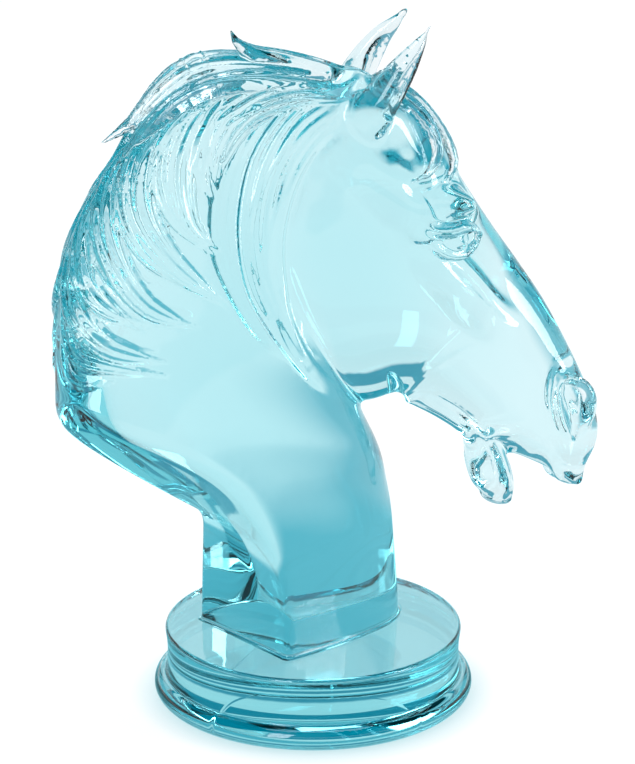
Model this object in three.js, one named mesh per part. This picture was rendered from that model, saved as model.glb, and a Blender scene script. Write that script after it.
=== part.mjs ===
import * as THREE from "three";

// Cast horse's head and neck on a round plinth, one piece of clear aqua casting.
// Millimetres, the plinth stands on z = 0, the post faces +X and the head is turned to its right.
const HEAD_TURN = -28;
const TURN_FROM = 90;
const TURN_TO = 380;

const PLINTH_TOP = 46;
const PLINTH_RADIUS = 94.5;
const PLINTH_WAIST = 1.6;
const BEAD_TUBE = 7.5;
const BEAD_RING = 94;
const POST_BACK = -52;

// The slanting underside of the neck behind the post: its height at the middle, its two slopes, and how
// deep it dips beside the post on the near side and how soon that fades.
const UNDERCUT_HEIGHT = 103;
const UNDERCUT_SLOPE = 0.62;
const UNDERCUT_LEAN = 0.35;
const UNDERCUT_DIP = 50;
const UNDERCUT_FADE = 20;
const DIP_FROM = 46;
const DIP_WIDTH = 76;

const CHEEK_CENTRE = [20, 0, 270];
const CHEEK_RADII = [74, 44, 53];
const FACE_DOWN = [0.47, 0, -0.883];
const FACE_OUT = [0, 1, 0];
const FACE_FRONT = [0.883, 0, 0.47];

// Grid steps of the skin, how far around it each step looks, and the number of facets that is kept.
const STEPS = [8, 4, 2.5];
const REACHES = [9, 4.5];
const LOW = [-200, -116, -6];
const HIGH = [190, 112, 450];
const FACETS = 9700;

const COLOUR = 0x9fdde3;

// Rows along a body: front x and z, back x and z, half width, taper to the front, squareness, middle y.
const NECK_ROWS = [
  [60, 0, -150, 110, 42, -0.10, 2.3, 6],
  [56, 90, -172, 186, 46, -0.12, 2.3, 4],
  [46, 150, -169, 238, 48, -0.15, 2.3, 2],
  [26, 192, -160, 284, 46, -0.20, 2.3, 0],
  [12, 228, -142, 328, 42, -0.25, 2.3, 0],
  [6, 265, -109, 370, 37, -0.28, 2.3, 0],
  [6, 302, -62, 399, 33, -0.28, 2.3, 0],
  [14, 338, -15, 404, 29, -0.20, 2.2, 0],
  [36, 352, 22, 397, 27, -0.10, 2.2, 0],
];
const POST_ROWS = [
  [64, -30, -84, -30, 46, 0.02, 3.2, 8],
  [61, 46, -84, 46, 44, 0.02, 3.2, 8],
  [56, 92, -88, 96, 43, 0.02, 3.0, 6],
  [48, 128, -92, 134, 45, 0.00, 2.8, 4],
  [36, 152, -92, 168, 44, 0.00, 2.5, 3],
  [20, 172, -80, 196, 36, 0.00, 2.4, 2],
];
const HEAD_ROWS = [
  [30, 404, -14, 362, 28, 0.00, 2.2, 0],
  [57, 388, -24, 330, 36, 0.04, 2.5, 0],
  [76, 362, -26, 296, 42, 0.06, 2.7, 0],
  [94, 333, -16, 262, 43, 0.10, 2.7, 0],
  [112, 305, 4, 236, 39, 0.18, 2.6, 0],
  [130, 279, 30, 216, 32, 0.25, 2.4, 0],
  [147, 253, 58, 198, 27, 0.22, 2.4, 0],
  [161, 227, 82, 182, 24, 0.12, 2.4, 0],
  [174, 200, 100, 167, 22, 0.02, 2.4, 0],
  [182, 180, 114, 158, 22, -0.02, 2.4, 0],
  [184, 160, 130, 152, 21, -0.05, 2.3, 0],
  [177, 142, 150, 142, 16, 0.00, 2.2, 0],
];
const JAW_ROWS = [
  [76, 214, 56, 193, 23, 0, 2.3, 0],
  [98, 188, 78, 181, 20, 0, 2.3, 0],
  [116, 166, 96, 166, 18, 0, 2.3, 0],
  [126, 148, 99, 147, 16, 0, 2.3, 0],
  [130, 132, 103, 134, 14, 0, 2.3, 0],
  [129, 121, 109, 126, 11, 0, 2.2, 0],
];

// Locks of the mane: half width, half thickness, lift over the skin, then their course from root to tip,
// as places along the neck (0 at its foot, 1 at the poll) and across it (-1 at the crest).
const LOCKS = [
  [8, 4.0, 1.5, [[0.80, -0.96], [0.76, -0.80], [0.71, -0.68], [0.68, -0.57], [0.66, -0.43]]],
  [11, 5.0, 2.0, [[0.78, -0.99], [0.70, -0.84], [0.63, -0.64], [0.58, -0.42], [0.57, -0.23]]],
  [13, 5.5, 2.5, [[0.72, -0.99], [0.62, -0.90], [0.55, -0.74], [0.51, -0.46], [0.49, -0.10]]],
  [11, 5.0, 2.0, [[0.66, -0.99], [0.55, -0.96], [0.47, -0.80], [0.42, -0.58], [0.42, -0.33]]],
  [11, 5.0, 2.0, [[0.60, -0.99], [0.50, -0.98], [0.42, -0.93], [0.39, -0.83], [0.38, -0.67]]],
  [12, 5.5, 2.5, [[0.52, -0.99], [0.41, -0.98], [0.35, -0.92], [0.325, -0.78], [0.335, -0.54]]],
  [8, 4.0, 1.0, [[0.42, -0.99], [0.34, -0.98], [0.295, -0.94], [0.295, -0.82], [0.31, -0.57]]],
  [7, 3.5, 1.0, [[0.37, -0.99], [0.30, -0.98], [0.265, -0.97], [0.255, -0.93], [0.265, -0.84]]],
  [9, 4.5, 2.0, [[0.93, -0.86], [0.84, -0.84], [0.76, -0.76], [0.69, -0.74], [0.62, -0.62]]],
  [10, 4.5, 3.0, [[0.90, -0.95], [0.82, -0.93], [0.74, -0.91], [0.66, -0.88], [0.58, -0.78]]],
  [7, 3.5, 1.0, [[0.93, -0.66], [0.85, -0.68], [0.78, -0.66], [0.72, -0.56], [0.68, -0.44]]],
];
const LAYERED = 7;
const UPPER_LOCK = { width: 7, thick: 4, lift: 3.5, length: 0.86 };

function clamp(x, low, high) {
  return Math.min(high, Math.max(low, x));
}

function smoothMin(a, b, k) {
  const h = clamp(0.5 + (0.5 * (b - a)) / k, 0, 1);
  return b + (a - b) * h - k * h * (1 - h);
}

function smoothMax(a, b, k) {
  return -smoothMin(-a, -b, k);
}

function ease(x, start, end) {
  const t = clamp((x - start) / (end - start), 0, 1);
  return t * t * (3 - 2 * t);
}

function subtract(a, b) {
  return [a[0] - b[0], a[1] - b[1], a[2] - b[2]];
}

function dot(a, b) {
  return a[0] * b[0] + a[1] * b[1] + a[2] * b[2];
}

function cross(a, b) {
  return [a[1] * b[2] - a[2] * b[1], a[2] * b[0] - a[0] * b[2], a[0] * b[1] - a[1] * b[0]];
}

function unit(a) {
  const size = Math.hypot(a[0], a[1], a[2]) || 1;
  return [a[0] / size, a[1] / size, a[2] / size];
}

function turn(p, degrees) {
  const c = Math.cos((degrees * Math.PI) / 180);
  const s = Math.sin((degrees * Math.PI) / 180);
  return [c * p[0] - s * p[1], s * p[0] + c * p[1], p[2]];
}

// The row on a smooth curve through four rows, at a share f of the way between the middle two.
function curve(a, b, c, d, f) {
  const weightA = 0.5 * f * (2 * f - f * f - 1);
  const weightB = 0.5 * (2 - 5 * f * f + 3 * f * f * f);
  const weightC = 0.5 * f * (1 + 4 * f - 3 * f * f);
  const weightD = 0.5 * f * f * (f - 1);
  const row = new Array(b.length);
  for (let k = 0; k < b.length; k++) {
    row[k] = weightA * a[k] + weightB * b[k] + weightC * c[k] + weightD * d[k];
  }
  return row;
}

// Evenly spaced samples of the smooth curve through the rows.
function spline(rows, count) {
  const last = rows.length - 1;
  const before = rows[0].map((value, k) => 2 * value - rows[1][k]);
  const after = rows[last].map((value, k) => 2 * value - rows[last - 1][k]);
  const p = [before, ...rows, after];
  const samples = [];
  for (let n = 0; n < count; n++) {
    const t = (n * last) / (count - 1);
    const i = Math.min(Math.floor(t), last - 1);
    samples.push(curve(p[i], p[i + 1], p[i + 2], p[i + 3], t - i));
  }
  return samples;
}

// Near-distance to the rounded block |u/a|^n + |v/b|^n + |w/c|^n = 1.
function block(u, v, w, a, b, c, n) {
  const x = Math.abs(u) / a;
  const y = Math.abs(v) / b;
  const z = Math.abs(w) / c;
  const r = (x ** n + y ** n + z ** n) ** (1 / n) + 1e-9;
  const slope = Math.hypot(x ** (n - 1) / a, y ** (n - 1) / b, z ** (n - 1) / c);
  return (r - 1) / (slope / r ** (n - 1) + 1e-9);
}

// A body between a front line and a back line, with a rounded cross-section.
class Loft {
  constructor(rows, count, cap) {
    this.cap = cap;
    this.rows = spline(rows, count).map((q) => {
      const half = [(q[0] - q[2]) / 2, (q[1] - q[3]) / 2];
      const reach = Math.hypot(half[0], half[1]);
      const middle = [(q[0] + q[2]) / 2, (q[1] + q[3]) / 2];
      return [...middle, half[0] / reach, half[1] / reach, reach, ...q.slice(4)];
    });
  }

  rowAt(t) {
    const last = this.rows.length - 1;
    const i = clamp(Math.floor(t), 0, last - 1);
    const a = this.rows[Math.max(i - 1, 0)];
    const b = this.rows[i];
    const c = this.rows[i + 1];
    const d = this.rows[Math.min(i + 2, last)];
    return curve(a, b, c, d, t - i);
  }

  across(p, t) {
    const row = this.rowAt(t);
    return (p[0] - row[0]) * row[3] - (p[2] - row[1]) * row[2];
  }

  // The place along the body whose cross-section passes through p.
  place(p) {
    const last = this.rows.length - 1;
    let best = Infinity;
    let t = 0;
    for (let i = 0; i <= last; i++) {
      const row = this.rows[i];
      const x = p[0] - row[0];
      const z = p[2] - row[1];
      const over = Math.max(Math.abs(x * row[2] + z * row[3]) - row[4], 0);
      const off = x * row[3] - z * row[2];
      const gap = over * over + off * off;
      if (gap < best) {
        best = gap;
        t = i;
      }
    }
    for (let pass = 0; pass < 2; pass++) {
      const a = Math.max(t - 0.5, 0);
      const b = Math.min(t + 0.5, last);
      const from = this.across(p, a);
      const to = this.across(p, b);
      const share = Math.abs(to - from) > 1e-6 ? from / (from - to) : 0.5;
      t = clamp(a + clamp(share, -1, 2) * (b - a), 0, last);
    }
    return t;
  }

  distance(p) {
    const row = this.rowAt(this.place(p));
    const x = p[0] - row[0];
    const z = p[2] - row[1];
    const along = x * row[2] + z * row[3];
    const off = x * row[3] - z * row[2];
    const width = row[5] * (1 - row[6] * clamp(along / row[4], -1.2, 1.2));
    return block(along, p[1] - row[8], off, row[4], width, this.cap ?? row[4], row[7]);
  }

  // A point and its outward direction on the side of the body, t from 0 to 1 along it, u from -1 at
  // the back line to 1 at the front line, raised by lift.
  skin(t, u, side, lift) {
    const row = this.rowAt(t * (this.rows.length - 1));
    const width = row[5] * (1 - row[6] * u);
    const n = row[7];
    const v = Math.min(Math.abs(u), 0.999);
    const y = width * (1 - v ** n) ** (1 / n);
    const back = (Math.sign(u) * v ** (n - 1)) / row[4];
    const out = (y / width) ** (n - 1) / width;
    const normal = unit([row[2] * back, side * out, row[3] * back]);
    const x = row[0] + row[2] * u * row[4];
    const z = row[1] + row[3] * u * row[4];
    return [[x + lift * normal[0], side * y + row[8] + lift * normal[1], z + lift * normal[2]], normal];
  }
}

// A flattened rope through rows of x, y, z, half width and half thickness, with its flat side to `facing`.
class Strand {
  constructor(rows, facing, count = 14, cap = 2.5) {
    const samples = spline(rows, count);
    const faces = Array.isArray(facing[0]) ? spline(facing, count) : samples.map(() => facing);
    this.cap = cap;
    this.rows = samples.map((q, i) => {
      const ahead = samples[Math.min(i + 1, count - 1)];
      const behind = samples[Math.max(i - 1, 0)];
      const along = unit(subtract(ahead, behind));
      const lean = dot(faces[i], along);
      const face = unit(faces[i].map((value, k) => value - lean * along[k]));
      return {
        at: q.slice(0, 3),
        along,
        face,
        side: cross(along, face),
        width: Math.max(q[3], 0.2),
        thick: Math.max(q[4], 0.2),
      };
    });
    const room = Math.max(...this.rows.map((row) => Math.max(row.width, row.thick)));
    this.low = [0, 1, 2].map((k) => Math.min(...this.rows.map((row) => row.at[k])) - room);
    this.high = [0, 1, 2].map((k) => Math.max(...this.rows.map((row) => row.at[k])) + room);
  }

  near(p, margin) {
    for (let k = 0; k < 3; k++) {
      if (p[k] < this.low[k] - margin || p[k] > this.high[k] + margin) return false;
    }
    return true;
  }

  distance(p) {
    let best = Infinity;
    let index = 0;
    let share = 0;
    for (let i = 0; i < this.rows.length - 1; i++) {
      const start = this.rows[i].at;
      const end = this.rows[i + 1].at;
      const [x, y, z] = [end[0] - start[0], end[1] - start[1], end[2] - start[2]];
      const [px, py, pz] = [p[0] - start[0], p[1] - start[1], p[2] - start[2]];
      const f = clamp((px * x + py * y + pz * z) / (x * x + y * y + z * z + 1e-12), 0, 1);
      const gap = (px - f * x) ** 2 + (py - f * y) ** 2 + (pz - f * z) ** 2;
      if (gap < best) {
        best = gap;
        index = i;
        share = f;
      }
    }
    const a = this.rows[index];
    const b = this.rows[index + 1];
    const mix = (from, to) => from.map((value, k) => value + (to[k] - value) * share);
    const q = subtract(p, mix(a.at, b.at));
    const width = a.width + (b.width - a.width) * share;
    const thick = a.thick + (b.thick - a.thick) * share;
    const side = dot(q, mix(a.side, b.side));
    const out = dot(q, mix(a.face, b.face));
    return block(side, out, dot(q, mix(a.along, b.along)), width, thick, this.cap, 2);
  }
}

function add(field, strand, p, k) {
  return strand.near(p, k + 4) ? smoothMin(field, strand.distance(p), k) : field;
}

function carve(field, strand, p, k) {
  return strand.near(p, k + 4) ? smoothMax(field, -strand.distance(p), k) : field;
}

function egg(p, centre, radii, axes) {
  const q = subtract(p, centre);
  const [u, v, w] = axes ? axes.map((axis) => dot(q, axis)) : q;
  return block(u, v, w, ...radii, 2);
}

const NECK = new Loft(NECK_ROWS, 56);
const POST = new Loft(POST_ROWS, 28, 22);
const HEAD = new Loft(HEAD_ROWS, 64, 10);
const JAW = new Loft(JAW_ROWS, 28, 5);

// Raised forms on both sides of the head, each with its blend and its rows.
const RIDGES = [
  [12, [[24, 34, 344, 3, 2], [42, 38, 329, 6, 3.5], [56, 38.5, 317, 6, 3.5], [66, 37, 306, 3, 2]]],
  [12, [[58, 36, 294, 3, 2], [74, 34.5, 279, 6, 3], [90, 31, 263, 6, 3], [104, 25, 248, 4, 2],
    [114, 20, 238, 2, 1]]],
  [4, [[98, 17, 180, 2, 2], [108, 17, 172, 4, 4], [119, 17, 172, 4.5, 4.5], [132, 17, 170, 5, 5],
    [144, 16, 161, 5, 5], [152, 15, 149, 4.5, 4.5], [160, 13, 138, 4.5, 4.5], [170, 10, 134, 4, 4]]],
  [3, [[104, 15, 176, 2, 2], [113, 15, 164, 3.5, 4], [119, 14, 150, 3.5, 4.5], [122, 12, 136, 4, 4.5],
    [119, 9, 126, 3, 3]]],
  [3, [[153, 17, 205, 2, 2], [163, 19, 203, 3.6, 3.6], [172, 19, 194, 4.4, 4.4], [173, 18, 181, 4.4, 4.4],
    [167, 17, 169, 3.4, 3.4], [160, 17, 163, 2, 2]]],
  [3, [[151, 18, 204, 2, 2], [148.5, 21, 193, 2.6, 3], [150, 22, 181, 2.8, 3.2], [155, 20, 170, 2.4, 2.8],
    [161, 17, 163, 1.6, 1.6]]],
  [4, [[60, 39, 317, 2, 2], [68, 41, 313.5, 3, 3.4], [77, 41.5, 313, 3.6, 3.8], [86, 38.5, 314, 3.4, 3.4],
    [94, 33, 311, 2.4, 2.4], [98, 29, 306, 1.2, 1.2]]],
  [3, [[62, 38, 311, 1.6, 1.6], [68, 39.5, 302, 2.4, 2.6], [77, 39.5, 296.5, 2.8, 3],
    [87, 36.5, 295.5, 2.6, 2.8], [95, 31.5, 300, 2, 2], [98, 29, 305, 1.2, 1.2]]],
].map(([blend, rows]) => [blend, new Strand(rows, FACE_OUT)]);

// Sunken forms: the crease behind the mouth, the corner of the mouth and the nostril.
const CREASES = [
  [3, [[46, 35, 204, 2, 2], [58, 35, 211, 2, 3], [69, 35, 220, 2, 3.5], [82, 33, 227, 2, 3],
    [92, 31, 232, 1.5, 1.5]]],
  [3, [[74, 27, 199, 2, 2], [86, 25, 192, 2, 3], [98, 22, 182, 2, 3], [106, 19, 174, 1.5, 1.5]]],
  [2.5, [[153, 25, 200, 1.6, 2.5], [156, 24, 191, 3, 5], [159, 23, 181, 3.8, 6], [162, 22, 172, 3.2, 5],
    [163, 20, 166, 1.6, 2.5]]],
].map(([blend, rows]) => [blend, new Strand(rows, FACE_OUT)]);

// The shell of an ear and the hollow in it, which faces forward and out.
function ear(side) {
  const shell = [[26, 28, 381, 13.5, 10], [32, 33, 390, 13, 9.5], [41, 36, 404, 11, 8],
    [50, 35.5, 417, 7.6, 6], [58, 33, 427.5, 4.4, 3.8], [63, 30.5, 435, 1.6, 1.6]];
  const hollow = [[39, 39, 387, 5, 6], [47, 42, 402, 5.6, 7], [54, 41, 415, 4, 5], [61, 37, 426, 1.6, 2]];
  const onSide = (rows) => rows.map(([x, y, z, width, thick]) => [x, side * y, z, width, thick]);
  return [
    new Strand(onSide(shell), [-0.5, 0.85 * side, 0.2], 18, 6),
    new Strand(onSide(hollow), [0.4, 0.9 * side, 0], 14, 3),
  ];
}

const EARS = [ear(-1), ear(1)];

const FORELOCK = [
  [[0.5, -0.8, 0.3], [[42, -12, 397, 6, 4], [56, -22, 388, 6, 3.6], [67, -30, 374, 5, 3.4],
    [70, -34, 360, 4, 3], [64, -37, 349, 2.6, 2.2], [56, -38, 345, 1.2, 1.2]]],
  [[0.7, -0.6, 0.4], [[44, -4, 400, 7, 4], [64, -10, 385, 6, 3.4], [76, -19, 369, 5, 3.2],
    [82, -25, 354, 4, 2.8], [80, -28, 344, 2, 1.8], [76, -29, 341, 1.2, 1.2]]],
  [[0.8, 0, 0.5], [[44, 4, 400, 7, 4], [63, 4, 386, 6, 3.4], [76, 2, 369, 5, 3], [84, -3, 352, 3.4, 2.4],
    [88, -6, 342, 1.2, 1.2]]],
  [[0.6, 0.7, 0.3], [[42, 10, 397, 6, 4], [57, 19, 387, 6, 3.4], [68, 27, 372, 5, 3], [72, 32, 357, 3.4, 2.6],
    [70, 34, 347, 1.2, 1.2]]],
].map(([facing, rows]) => new Strand(rows, facing));

// Thick locks along the crest; the first turns its tip up, the second ends in a point behind.
const CREST = [
  [[0, 0, 1], [[30, 3, 396, 10, 6], [4, 2, 407, 11, 6.5], [-20, 0, 415, 9, 6], [-37, -3, 420, 7, 5],
    [-47, -5, 427, 4, 3], [-51, -6, 434, 1.4, 1.4]]],
  [[0.3, 0, 1], [[8, 0, 404, 9, 6], [-18, 2, 409, 12, 8], [-46, 2, 412, 13, 9], [-72, 0, 412, 13, 9],
    [-92, -2, 400, 10, 8], [-110, -3, 382, 5, 5], [-128, -3, 370, 1.6, 1.6]]],
  [[0.3, -0.4, 1], [[-10, -9, 402, 8, 6], [-36, -12, 406, 9, 7], [-62, -13, 405, 9, 7], [-86, -12, 395, 8, 7],
    [-105, -10, 378, 5, 5], [-118, -9, 364, 1.2, 1.2]]],
  [[0.3, 0.4, 1], [[-30, 11, 402, 8, 6], [-56, 13, 404, 9, 7], [-84, 12, 396, 8, 7], [-106, 8, 376, 6, 5],
    [-124, 4, 356, 1.2, 1.2]]],
].map(([facing, rows]) => new Strand(rows, facing, 16));

// A lock that swells from its root and thins out to a point lying on the neck.
function lock(side, width, thick, lift, course) {
  const rows = [];
  const facing = [];
  spline(course, 9).forEach(([t, u], k) => {
    const s = k / 8;
    const crest = Math.abs(u);
    const arch = Math.sin(Math.PI * (0.25 + 0.75 * s)) * (1 - 0.9 * crest ** 6);
    const raised = lift * arch - 2.5 * crest ** 8 - 0.4;
    const [at, normal] = NECK.skin(t, Math.max(u, -0.995), side, raised);
    const swell = s < 1 ? Math.sin(Math.PI * (0.12 + 0.88 * s)) ** 0.65 : 0.12;
    rows.push([...at, width * swell, thick * swell]);
    facing.push(normal);
  });
  return new Strand(rows, facing, 16);
}

// Broad locks on both sides, with shorter ones raised over the gaps between the first of them.
function maneLocks() {
  const locks = [];
  for (const side of [-1, 1]) {
    for (const [width, thick, lift, course] of LOCKS) locks.push(lock(side, width, thick, lift, course));
    for (let i = 1; i < LAYERED; i++) {
      const [above, below] = [LOCKS[i - 1][3], LOCKS[i][3]];
      const middle = above.map((place, k) => place.map((value, n) => (value + below[k][n]) / 2));
      const root = middle[0];
      const { width, thick, lift, length } = UPPER_LOCK;
      const course = middle.map((place) => place.map((value, n) => root[n] + (value - root[n]) * length));
      locks.push(lock(side, width, thick, lift, course));
    }
  }
  return locks;
}

// Fine strands from behind the ears down the back edge of the cheek, which close up at the throat.
const THROAT_OUTER = [[0.95, -0.98], [0.84, -0.6], [0.75, -0.32], [0.68, -0.16], [0.61, -0.02], [0.54, 0.13],
  [0.48, 0.28], [0.42, 0.44], [0.38, 0.63]];
const THROAT_INNER = [[0.97, -0.3], [0.88, -0.02], [0.8, 0.1], [0.73, 0.2], [0.66, 0.28], [0.59, 0.34],
  [0.52, 0.42], [0.45, 0.53], [0.4, 0.7]];

function throatStrands() {
  const strands = [];
  const last = THROAT_OUTER.length - 1;
  for (const side of [-1, 1]) {
    for (let j = 0; j < 6; j++) {
      const rows = [];
      const facing = [];
      THROAT_OUTER.forEach((outer, k) => {
        const inner = THROAT_INNER[k];
        const t = outer[0] + ((inner[0] - outer[0]) * j) / 5;
        const u = outer[1] + ((inner[1] - outer[1]) * j) / 5 + 0.012 * Math.sin(2.2 * k + 1.9 * j);
        const [at, normal] = NECK.skin(t, u, side, k === last ? -2.5 : 0.6);
        const size = 0.35 + 0.65 * Math.sin((Math.PI * (k + 0.4)) / (last + 0.8)) ** 0.6;
        rows.push([...at, 3 * size, 2.4 * size]);
        facing.push(normal);
      });
      strands.push(new Strand(rows, facing, 26));
    }
  }
  return strands;
}

const MANE = [...maneLocks(), ...CREST];
const THROAT = throatStrands();

function plinth(p) {
  const r = Math.hypot(p[0], p[1]);
  const rise = clamp((p[2] - 13) / (PLINTH_TOP - 13), 0, 1);
  const wall = r - PLINTH_RADIUS + PLINTH_WAIST * Math.sin(Math.PI * rise);
  const bead = Math.hypot(r - BEAD_RING, p[2] - BEAD_TUBE) - BEAD_TUBE;
  return smoothMin(smoothMax(wall, p[2] - PLINTH_TOP, 3), bead, 1.2);
}

function neckAndPost(n) {
  const behind = n[0] - POST_BACK;
  const share = clamp((DIP_FROM - n[1]) / DIP_WIDTH, 0, 1.3) ** 1.3;
  const dip = UNDERCUT_DIP * share * Math.exp(Math.min(behind, 0) / UNDERCUT_FADE);
  const above = n[2] - UNDERCUT_HEIGHT + UNDERCUT_SLOPE * n[0] + UNDERCUT_LEAN * n[1] + dip;
  const slope = Math.hypot(1, UNDERCUT_SLOPE + dip / UNDERCUT_FADE, UNDERCUT_LEAN);
  const removed = smoothMax(above / slope, behind, 8);
  const body = smoothMin(NECK.distance(n), POST.distance(n), 6);
  return smoothMax(body, -removed, 4 + 8 * ease(n[2], 60, 170));
}

function face(h) {
  const m = [h[0], Math.abs(h[1]), h[2]];
  const axes = [FACE_DOWN, FACE_OUT, FACE_FRONT];
  let d = HEAD.distance(h);
  d = smoothMin(d, egg(h, CHEEK_CENTRE, CHEEK_RADII, axes), 10);
  d = smoothMin(d, JAW.distance(h), 8);
  d = smoothMax(d, -egg(m, [62, 0, 186], [40, 9, 9], axes), 6);
  d = smoothMax(d, -egg(m, [56, 47, 352], [14, 10, 10], axes), 8);
  d = smoothMin(d, egg(m, [71, 31.5, 324.5], [24, 9, 12]), 9);
  d = smoothMax(d, -egg(m, [84, 48, 303], [15, 9, 9]), 5);
  d = smoothMin(d, egg(m, [80, 31, 304], [10, 10, 9.5]), 1);
  for (const [blend, strand] of RIDGES) d = add(d, strand, m, blend);
  for (const [blend, strand] of CREASES) d = carve(d, strand, m, blend);
  for (const [shell, hollow] of EARS) d = carve(add(d, shell, h, 6), hollow, h, 2.5);
  for (const strand of FORELOCK) d = add(d, strand, h, 2.5);
  return d;
}

// Distance to the skin of the whole casting, negative inside.
function casting(p) {
  const n = turn(p, -HEAD_TURN * ease(p[2], TURN_FROM, TURN_TO));
  let d = neckAndPost(n);
  for (const strand of MANE) d = add(d, strand, n, 2);
  d = smoothMin(d, face(turn(p, -HEAD_TURN)), 7);
  for (const strand of THROAT) d = add(d, strand, n, 2);
  d = smoothMin(d, plinth(p), 3);
  return Math.max(d, -p[2]);
}

// Samples of the casting on a grid that is refined only near the skin.
function sampleGrid() {
  let grid = null;
  STEPS.forEach((step, level) => {
    const size = [0, 1, 2].map((k) => Math.floor((HIGH[k] - LOW[k]) / step) + 1);
    const finer = { step, size, values: new Float32Array(size[0] * size[1] * size[2]) };
    forEachNode(size, (x, y, z, node) => {
      const p = [LOW[0] + x * step, LOW[1] + y * step, LOW[2] + z * step];
      const guess = grid ? between(grid, p) : 0;
      finer.values[node] = Math.abs(guess) < (REACHES[level - 1] ?? Infinity) ? casting(p) : guess;
    });
    grid = finer;
  });
  return grid;
}

function forEachNode(size, visit) {
  let node = 0;
  for (let x = 0; x < size[0]; x++) {
    for (let y = 0; y < size[1]; y++) {
      for (let z = 0; z < size[2]; z++) {
        visit(x, y, z, node);
        node++;
      }
    }
  }
}

// The value of the grid at p, between the eight nodes around it.
function between(grid, p) {
  const { step, size, values } = grid;
  const [u, v, w] = [(p[0] - LOW[0]) / step, (p[1] - LOW[1]) / step, (p[2] - LOW[2]) / step];
  const x = Math.min(Math.floor(u), size[0] - 2);
  const y = Math.min(Math.floor(v), size[1] - 2);
  const z = Math.min(Math.floor(w), size[2] - 2);
  const [fx, fy, fz] = [Math.min(u - x, 1), Math.min(v - y, 1), Math.min(w - z, 1)];
  const column = (i, j) => {
    const node = ((x + i) * size[1] + y + j) * size[2] + z;
    return values[node] * (1 - fz) + values[node + 1] * fz;
  };
  const near = column(0, 0) * (1 - fy) + column(0, 1) * fy;
  const far = column(1, 0) * (1 - fy) + column(1, 1) * fy;
  return near * (1 - fx) + far * fx;
}

const CORNERS = [0, 1, 2, 3, 4, 5, 6, 7].map((c) => [c & 1, (c >> 1) & 1, (c >> 2) & 1]);
const EDGES = [[0, 1], [2, 3], [4, 5], [6, 7], [0, 2], [1, 3], [4, 6], [5, 7], [0, 4], [1, 5], [2, 6], [3, 7]];

// How far apart in the list of values the eight corners of a cell are.
function cornerSteps(size) {
  return CORNERS.map((c) => (c[0] * size[1] + c[1]) * size[2] + c[2]);
}

// Which corners of a cell are solid, as one bit each.
function solidCorners(values, node, steps) {
  let bits = 0;
  for (let c = 0; c < 8; c++) if (values[node + steps[c]] < 0) bits |= 1 << c;
  return bits;
}

// The number of groups of joined corners among those whose bits are set.
function groupsOf(bits) {
  const group = CORNERS.map((corner, c) => ((bits >> c) & 1 ? c : -1));
  for (let pass = 0; pass < 4; pass++) {
    for (const [a, b] of EDGES) {
      if (group[a] >= 0 && group[b] >= 0) {
        group[a] = Math.min(group[a], group[b]);
        group[b] = group[a];
      }
    }
  }
  return new Set(group.filter((g) => g >= 0)).size;
}

// Fills the cells where two sheets of skin would meet in one point, so the skin stays a clean surface.
function closePinches(grid) {
  const { size, values } = grid;
  const steps = cornerSteps(size);
  const pinched = Array.from({ length: 256 }, (_, bits) => groupsOf(bits) > 1 || groupsOf(255 - bits) > 1);
  const inner = [size[0] - 1, size[1] - 1, size[2] - 1];
  for (let changed = true; changed; ) {
    changed = false;
    forEachNode(inner, (x, y, z) => {
      const node = (x * size[1] + y) * size[2] + z;
      if (!pinched[solidCorners(values, node, steps)]) return;
      for (const step of steps) if (values[node + step] >= 0) values[node + step] = -0.05;
      changed = true;
    });
  }
}

// One point per cell that the skin crosses, and two facets per crossed grid edge.
function skinOf(grid) {
  const { step, size, values } = grid;
  const steps = cornerSteps(size);
  const strides = [size[1] * size[2], size[2], 1];
  const points = [];
  const facets = [];
  const pointOf = new Int32Array(values.length).fill(-1);
  forEachNode([size[0] - 1, size[1] - 1, size[2] - 1], (x, y, z) => {
    const node = x * strides[0] + y * strides[1] + z;
    const bits = solidCorners(values, node, steps);
    if (bits === 0 || bits === 255) return;
    const sum = [0, 0, 0];
    let crossings = 0;
    for (const [a, b] of EDGES) {
      if (((bits >> a) & 1) === ((bits >> b) & 1)) continue;
      const [from, to] = [values[node + steps[a]], values[node + steps[b]]];
      const f = from / (from - to);
      for (let k = 0; k < 3; k++) sum[k] += CORNERS[a][k] + f * (CORNERS[b][k] - CORNERS[a][k]);
      crossings++;
    }
    pointOf[node] = points.length;
    points.push([x, y, z].map((value, k) => LOW[k] + step * (value + sum[k] / crossings)));
  });
  forEachNode(size, (x, y, z, node) => {
    if (x === 0 || y === 0 || z === 0) return;
    for (let k = 0; k < 3; k++) {
      if ([x, y, z][k] === size[k] - 1) continue;
      const inside = values[node] < 0;
      if (inside === values[node + strides[k]] < 0) continue;
      const [i, j] = [strides[(k + 1) % 3], strides[(k + 2) % 3]];
      const ring = [node - i - j, node - j, node, node - i].map((cell) => pointOf[cell]);
      if (!inside) ring.reverse();
      facets.push([ring[0], ring[1], ring[2]], [ring[0], ring[2], ring[3]]);
    }
  });
  return { points, facets };
}

// Moves each point onto the skin along the slope of the distance.
function settle(points, step) {
  const reach = 0.05;
  const ways = [[1, -1, -1], [-1, -1, 1], [-1, 1, -1], [1, 1, 1]];
  return points.map((p) => {
    const values = ways.map((way) => casting(p.map((value, k) => value + reach * way[k])));
    const rise = (k) => ways.reduce((sum, way, w) => sum + way[k] * values[w], 0) / (4 * reach);
    const slope = [rise(0), rise(1), rise(2)];
    const value = values.reduce((sum, v) => sum + v, 0) / 4;
    const move = clamp(value, -step, step) / Math.max(dot(slope, slope), 0.25);
    return p.map((v, k) => v - move * slope[k]);
  });
}

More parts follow.
